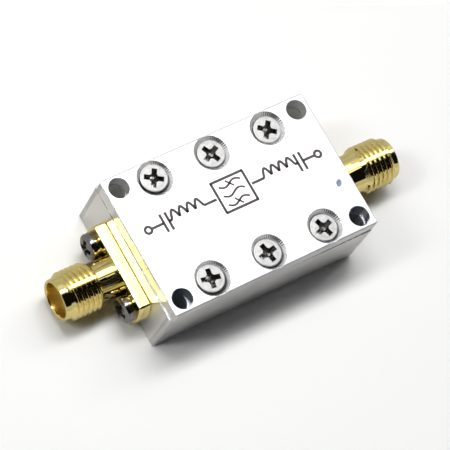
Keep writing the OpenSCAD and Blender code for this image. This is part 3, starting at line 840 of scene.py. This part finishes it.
# %% Make the six lid screws
HEAD_SINK = 0.38
SEAT_GAP = 0.01
HEAD_R = 1.8
SHANK_R = 0.98
SCREW_L = 6.0
LID_CROSS_TURNS = [59, 27, 53, 80, 11, 20]
lid_screw_profile = [
    (0.0, 0.9), (0.0, 1.4), (-0.012, 1.5), (0.0, 1.6), (0.0, 1.75), (-0.02, 1.79),
    (-0.04, HEAD_R), (-0.15, HEAD_R), (-0.97, SHANK_R), (-5.5, SHANK_R), (-SCREW_L, 0.5)]
lid_screw = turn("lid_screw", lid_screw_profile, sides=64)
lid_screw.data.materials.append(satin_nickel)
lid_screw.data.materials.append(shaded_recess_nickel)
for number, angle in enumerate(LID_CROSS_TURNS):
    row, column = divmod(number, 3)
    row_y = (SCREW_PLACE[1], -SCREW_PLACE[1])[row]
    axis = Vector(((column - 1) * SCREW_PLACE[0] * MM, row_y * MM, 0))
    off_centre = (lid_place @ axis - axis).length / MM
    height = LID_TOP - HEAD_SINK + off_centre + SEAT_GAP
    screw = copy_of(lid_screw, "lid_screw_%d" % (number + 1))
    punch = make_punch(span=2.55, arm=0.68, depth=1.25)
    put(punch, Matrix.Rotation(math.radians(angle), 4, "Z"))
    combine(screw, punch, "DIFFERENCE")
    smooth(screw)
    put(screw, Matrix.Translation(axis + Vector((0, 0, height * MM))))
    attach(screw, "root")
    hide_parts("lid_screws")
    print(screw.name, "stands", round(LID_TOP - height, 3), "mm below the lid's top")
bpy.data.objects.remove(lid_screw, do_unlink=True)

# %% [markdown]
# ## The flanges' screws
#
# These are pan-head screws: a straight side, a small rounded shoulder and a low crown. The
# shoulder and the crown throw the small, sharp lights beside each barrel.

# %% Make the four flange screws
PAN_H = 1.4
PAN_R = 1.75
PAN_SHANK_R = 0.83
FLANGE_CROSS_TURNS = {"input": (20, 35), "output": (25, 60)}
pan_profile = [
    (PAN_H, 0.25), (1.39, 0.5), (1.35, 0.85), (1.28, 1.2), (1.2, 1.42), (1.14, 1.55),
    (1.06, 1.66), (0.97, 1.73), (0.87, PAN_R), (0.06, PAN_R), (0.0, 1.7),
    (0.0, PAN_SHANK_R), (-4.6, PAN_SHANK_R), (-5.0, 0.45)]
pan_screw = turn("pan_screw", pan_profile, sides=64)
pan_screw.data.materials.append(nickel_with_painted_shade)
pan_screw.data.materials.append(shaded_recess_nickel)
for end, angles in FLANGE_CROSS_TURNS.items():
    for number, angle in enumerate(angles):
        side = (-1, 1)[number]
        screw = copy_of(pan_screw, "%s_flange_screw_%d" % (end, number + 1))
        punch = make_punch(span=2.5, arm=0.66, depth=0.95)
        put(punch, Matrix.Translation((0, 0, PAN_H * MM))
            @ Matrix.Rotation(math.radians(angle), 4, "Z"))
        combine(screw, punch, "DIFFERENCE")
        smooth(screw, degrees=40)
        put(screw, on_end(end) @ Matrix.Translation((side * SCREW_Y * MM, 0, FLANGE_T * MM)))
        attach(screw, "root")
        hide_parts(end + "_flange_screws")
bpy.data.objects.remove(pan_screw, do_unlink=True)
print("placed 4 flange screws")

# %% [markdown]
# ## The print on the lid
#
# Along the lid runs the circuit diagram of the part's function, in general signs: a terminal, a
# capacitor, a coil, a box with three waves of which the upper and lower are struck out, a coil, a
# capacitor and a terminal. Each stroke is a flat strip 0.01 mm thick, the thickness of printing
# ink. Most strokes are straight bars. Each loop of a coil and each wave is a fine grid, bent
# along a curve whose height is given as a function of the share of its length.

# %% Helpers for printed strokes
INK_T = 0.01
SLOPE_STEP = 0.001
strokes = []


def on_lid(x, y):
    return lid_place @ Matrix.Translation((x * MM, y * MM, LID_TOP * MM))


def thicken():
    bpy.ops.mesh.extrude_region_move(TRANSFORM_OT_translate={"value": (0, 0, INK_T * MM)})
    bpy.ops.mesh.select_all(action="SELECT")
    close_edit()


def print_stroke(piece, place):
    thicken()
    strokes.append(piece)
    put(piece, place)


def bar(x, y, length, width, angle=0):
    bpy.ops.mesh.primitive_plane_add(size=MM)
    piece = bpy.context.object
    edit_all()
    bpy.ops.transform.resize(value=(length, width, 1), center_override=(0, 0, 0))
    print_stroke(piece, on_lid(x, y) @ Matrix.Rotation(math.radians(angle), 4, "Z"))


def terminal(x, y, radius, width):
    bpy.ops.mesh.primitive_circle_add(vertices=48, radius=radius * MM)
    piece = bpy.context.object
    edit_all()
    bpy.ops.mesh.extrude_region_move()
    inner = (radius - width) / radius
    bpy.ops.transform.resize(value=(inner, inner, 1), center_override=(0, 0, 0))
    bpy.ops.mesh.select_all(action="SELECT")
    print_stroke(piece, on_lid(x, y))


def curve(x, y, length, width, rise, steps=48):
    bpy.ops.mesh.primitive_grid_add(x_subdivisions=steps, y_subdivisions=1, size=MM)
    piece = bpy.context.object
    edit_all()
    bpy.ops.transform.resize(value=(length, width, 1), center_override=(0, 0, 0))
    bpy.ops.object.mode_set(mode="OBJECT")
    for point in piece.data.vertices:
        along = point.co.x / (length * MM) + 0.5
        across = point.co.y
        change = rise(along + SLOPE_STEP) - rise(along - SLOPE_STEP)
        slope = change / (2 * SLOPE_STEP) / length
        lean = math.hypot(1, slope)
        point.co.x -= across * slope / lean
        point.co.y = rise(along) * MM + across / lean
    edit_all()
    print_stroke(piece, on_lid(x, y))


# %% Draw the filter's sign
STROKE = 0.36
THIN_STROKE = 0.28
STRIKE_STROKE = 0.26
PRINT_Y = 1.55
TERMINAL_X = 12.55
TERMINAL_R = 0.62
OUTER_LEAD_X = 11.15
OUTER_LEAD_L = 1.6
OUTER_PLATE_X = 10.3
INNER_PLATE_X = 9.55
PLATE_L = 2.5
COIL_LEAD_X = 9.33
COIL_LEAD_L = 0.5
COIL_FROM = 4.48
LOOPS = 4
LOOP_L = 1.16
LOOP_RISE = 1.15
BOX_LEAD_X = 3.55
BOX_LEAD_L = 1.9
SIGN_BOX_X = 2.3
SIGN_BOX_Y = 2.1
SIGN_BOX_EDGE_L = 4.9
SIGN_BOX_END_L = 4.2
WAVE_PITCH = 1.25
WAVE_L = 3.2
WAVE_RISE = -0.32
STRIKE_L = 1.3
STRIKE_ANGLE = -50
for side in (-1, 1):
    terminal(side * TERMINAL_X, PRINT_Y, TERMINAL_R, STROKE)
    bar(side * OUTER_LEAD_X, PRINT_Y, OUTER_LEAD_L, STROKE)
    bar(side * OUTER_PLATE_X, PRINT_Y, STROKE, PLATE_L)
    bar(side * INNER_PLATE_X, PRINT_Y, STROKE, PLATE_L)
    bar(side * COIL_LEAD_X, PRINT_Y, COIL_LEAD_L, STROKE)
    for loop in range(LOOPS):
        curve(side * (COIL_FROM + LOOP_L * (loop + 0.5)), PRINT_Y, LOOP_L, STROKE,
              lambda t: LOOP_RISE * math.sin(math.pi * t), steps=24)
    bar(side * BOX_LEAD_X, PRINT_Y, BOX_LEAD_L, STROKE)
    bar(0, PRINT_Y + side * SIGN_BOX_Y, SIGN_BOX_EDGE_L, STROKE)
    bar(side * SIGN_BOX_X, PRINT_Y, STROKE, SIGN_BOX_END_L)
    bar(0, PRINT_Y + side * WAVE_PITCH, STRIKE_L, STRIKE_STROKE, STRIKE_ANGLE)
for row in (-1, 0, 1):
    curve(0, PRINT_Y + row * WAVE_PITCH, WAVE_L, THIN_STROKE,
          lambda t: WAVE_RISE * math.sin(2 * math.pi * t))
select_only(strokes[0])
for piece in strokes[1:]:
    piece.select_set(True)
bpy.ops.object.join()
sign = bpy.context.object
sign.name = "printed_filter_sign"
sign.data.materials.append(print_ink)
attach(sign, "root")
print("sign:", len(sign.data.polygons), "faces")

# %% [markdown]
# ## The marker dab
#
# A tester leaves one small dab of marker ink near the output. It is a disc pulled a little out
# of round, and its rim wavers by a tenth.

# %% Add the dab
DAB_R = 0.42
DAB_STRETCH = (1.3, 0.9)
DAB_WAVER = 0.1
WAVER_STEP = 1.9
DAB_PLACE = (13.05, -2.95)
DAB_ANGLE = 55
bpy.ops.mesh.primitive_circle_add(vertices=32, radius=DAB_R * MM, fill_type="NGON")
dab = bpy.context.object
dab.name = "marker_dab"
edit_all()
bpy.ops.transform.resize(value=(*DAB_STRETCH, 1), center_override=(0, 0, 0))
bpy.ops.object.mode_set(mode="OBJECT")
for number, point in enumerate(dab.data.vertices):
    point.co *= 1 + DAB_WAVER * math.sin(number * WAVER_STEP)
edit_all()
thicken()
put(dab, on_lid(*DAB_PLACE) @ Matrix.Rotation(math.radians(DAB_ANGLE), 4, "Z"))
dab.data.materials.append(marker_ink)
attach(dab, "root")
print("dab placed")

# %% [markdown]
# ## The table
#
# The part lies on a plain white table. It is white to the camera. Mirror images and scattered
# light see it a little darker, and darker still behind the part, as if the table ended there. It
# lies 0.02 mm below the part, so that the two faces don't coincide.

# %% Lay the table
TABLE_SIDE = 1.6
TABLE_DROP = 0.00002
TABLE_TURNS_DARK = 0.02
paper, tree = start_material("white_table")
path = add_node(tree, "ShaderNodeLightPath", {})
place = add_node(tree, "ShaderNodeTexCoord", {})
parts = add_node(tree, "ShaderNodeSeparateXYZ", {"Vector": place.outputs["Object"]})
behind = add_node(tree, "ShaderNodeMapRange", {
    "Value": parts.outputs["Y"], "From Min": -TABLE_TURNS_DARK, "From Max": TABLE_TURNS_DARK})
seen = add_node(tree, "ShaderNodeMix", {
    "Factor": behind.outputs[0], COLOUR_A: linear("E4E2DE"), COLOUR_B: linear("B9B6B0")},
    data_type="RGBA")
white = add_node(tree, "ShaderNodeMix", {
    "Factor": path.outputs["Is Camera Ray"], COLOUR_A: seen.outputs[MIXED_COLOUR],
    COLOUR_B: linear("FBFBFA")}, data_type="RGBA")
shader = add_node(tree, "ShaderNodeBsdfPrincipled", {
    "Base Color": white.outputs[MIXED_COLOUR], "Roughness": 0.9, "Specular IOR Level": 0.0})
add_node(tree, "ShaderNodeOutputMaterial", {"Surface": shader.outputs[0]})
bpy.ops.mesh.primitive_plane_add(size=TABLE_SIDE, location=(0, 0, -TABLE_DROP))
table = bpy.context.object
table.name = "table"
table.data.materials.append(paper)

# %% [markdown]
# ## The lamps
#
# The light is soft, as in a product photograph. Three broad key lamps hang above the part and a
# little behind, so its near side falls into shade and the shadow comes forward. Polished metal
# shows what stands round it, and a mirrored key lamp would burn the gold out. So gaps are left
# between the lamps, where the camera's mirror images fall, and two much weaker screens fill
# them. A third weak screen, further forward on the right, carries the right jack's bright stripe
# further down. Each key lamp fades towards its front edge, which gives the bright stripes on the
# jacks one soft side.
#
# A lamp's place is its span across (X) and its span along (Y), in metres. Its fall is the level
# at each share of its depth, from front to back. A colour ramp starts with two stops, which are
# given first, at its two ends.

# %% Hang the lamps
LAMP_Z = 0.6
KEY_ALONG = (0.02, 0.25)
KEY_FALL = [(0.0, 0.0), (1.0, 0.3), (0.28, 0.1), (0.45, 0.4), (0.56, 1.0), (0.87, 1.0)]


def fill_ramp(ramp, levels):
    stops = ramp.color_ramp.elements
    for number, (place, level) in enumerate(levels):
        stop = stops[number] if number < 2 else stops.new(place)
        stop.position = place
        stop.color = (level, level, level, 1)


def lamp(name, across, along, level, fall):
    light = bpy.data.lights.new(name, "AREA")
    light.shape = "RECTANGLE"
    light.size = across[1] - across[0]
    light.size_y = along[1] - along[0]
    light.energy = level * math.pi * light.size * light.size_y
    light.use_nodes = True
    tree = light.node_tree
    tree.nodes.clear()
    front = add_node(tree, "ShaderNodeNewGeometry", {})
    sides = add_node(tree, "ShaderNodeSeparateXYZ", {"Vector": front.outputs["Parametric"]})
    ramp = add_node(tree, "ShaderNodeValToRGB", {"Fac": sides.outputs["Y"]})
    fill_ramp(ramp, fall)
    cloth = add_node(tree, "ShaderNodeEmission", {"Color": ramp.outputs[0], "Strength": 1.0})
    add_node(tree, "ShaderNodeOutputLight", {"Surface": cloth.outputs[0]})
    thing = bpy.data.objects.new(name, light)
    bpy.context.collection.objects.link(thing)
    thing.location = (sum(across) / 2, sum(along) / 2, LAMP_Z)
    print(name, "gives", round(light.energy, 2), "W")


lamp("key_lamp_left", across=(-0.75, -0.42), along=KEY_ALONG, level=21.0, fall=KEY_FALL)
lamp("key_lamp_middle", across=(-0.2, 0.22), along=KEY_ALONG, level=17.0, fall=KEY_FALL)
lamp("key_lamp_right", across=(0.42, 0.75), along=KEY_ALONG, level=8.0, fall=KEY_FALL)
lamp("screen_left", across=(-0.42, -0.2), along=(0.05, 0.28), level=1.4,
     fall=[(0.0, 1.0), (1.0, 1.0)])
lamp("screen_right", across=(0.22, 0.42), along=(0.02, 0.5), level=2.6,
     fall=[(0.0, 0.1), (1.0, 0.4), (0.2, 0.9), (0.6, 0.9)])
lamp("screen_front", across=(0.28, 0.42), along=(-0.16, 0.02), level=2.0,
     fall=[(0.0, 0.0), (1.0, 0.9), (0.2, 0.05), (0.6, 0.6)])

# %% [markdown]
# ## The room
#
# The room is painted by direction, with a ramp over the angle from front to back: pale low in
# front, dark from there to overhead, and pale behind. The dark part draws the dark stripes on
# round metal. Reflections see the room at full strength, and all other rays at a tenth of it, so
# the lamps give the table nearly all its light.

# %% Paint the room
WALL_LEVELS = [
    (0.0, 0.6), (1.0, 0.6), (0.115, 0.6), (0.135, 0.005), (0.48, 0.005), (0.52, 0.1),
    (0.72, 0.95), (0.84, 0.52)]
DIM_STRENGTH = 0.1
world = bpy.data.worlds.new("dim_room")
bpy.context.scene.world = world
world.use_nodes = True
tree = world.node_tree
tree.nodes.clear()
sky = add_node(tree, "ShaderNodeTexCoord", {})
compass = add_node(tree, "ShaderNodeSeparateXYZ", {"Vector": sky.outputs["Generated"]})
tilt = add_node(tree, "ShaderNodeMath", {
    0: compass.outputs["Y"], 1: compass.outputs["Z"]}, operation="ARCTAN2")
turned = add_node(tree, "ShaderNodeMapRange", {
    "Value": tilt.outputs[0], "From Min": -math.pi / 2, "From Max": math.pi / 2})
walls = add_node(tree, "ShaderNodeValToRGB", {"Fac": turned.outputs[0]})
fill_ramp(walls, WALL_LEVELS)
path = add_node(tree, "ShaderNodeLightPath", {})
strength = add_node(tree, "ShaderNodeMapRange", {
    "Value": path.outputs["Is Glossy Ray"], "To Min": DIM_STRENGTH, "To Max": 1.0})
room = add_node(tree, "ShaderNodeBackground", {
    "Color": walls.outputs[0], "Strength": strength.outputs[0]})
add_node(tree, "ShaderNodeOutputWorld", {"Surface": room.outputs[0]})
bpy.context.scene.view_settings.view_transform = "Standard"
print("studio built")

# %% [markdown]
# ## The camera
#
# Its place, turn and lens were fitted to the housing's corners, its corner holes, the lid's
# screws and the left flange in the photograph, which is a square of 450 by 450 points. They are
# given from the lid's own middle, in metres and degrees: the camera looks straight down, is
# rolled, then tilted up, and then turned to its heading.

# %% Set the camera
PHOTO_SIDE = 450
FOCAL_POINTS = 2816.66
SENSOR = 36
CAMERA_PLACE = (-0.146282, -0.073497, 0.314350)
CAMERA_HEADING = -63.3546
CAMERA_TILT = 27.7813
CAMERA_ROLL = 35.8771
camera = bpy.data.objects.new("camera", bpy.data.cameras.new("camera"))
bpy.context.collection.objects.link(camera)
camera.matrix_world = (
    lid_place @ Matrix.Translation(CAMERA_PLACE)
    @ Matrix.Rotation(math.radians(CAMERA_HEADING), 4, "Z")
    @ Matrix.Rotation(math.radians(CAMERA_TILT), 4, "X")
    @ Matrix.Rotation(math.radians(CAMERA_ROLL), 4, "Z"))
camera.data.sensor_width = SENSOR
camera.data.lens = FOCAL_POINTS / PHOTO_SIDE * SENSOR
camera.data.clip_start = 0.01
camera.data.clip_end = 10
bpy.context.scene.camera = camera
print("camera at", [round(v, 4) for v in camera.location])
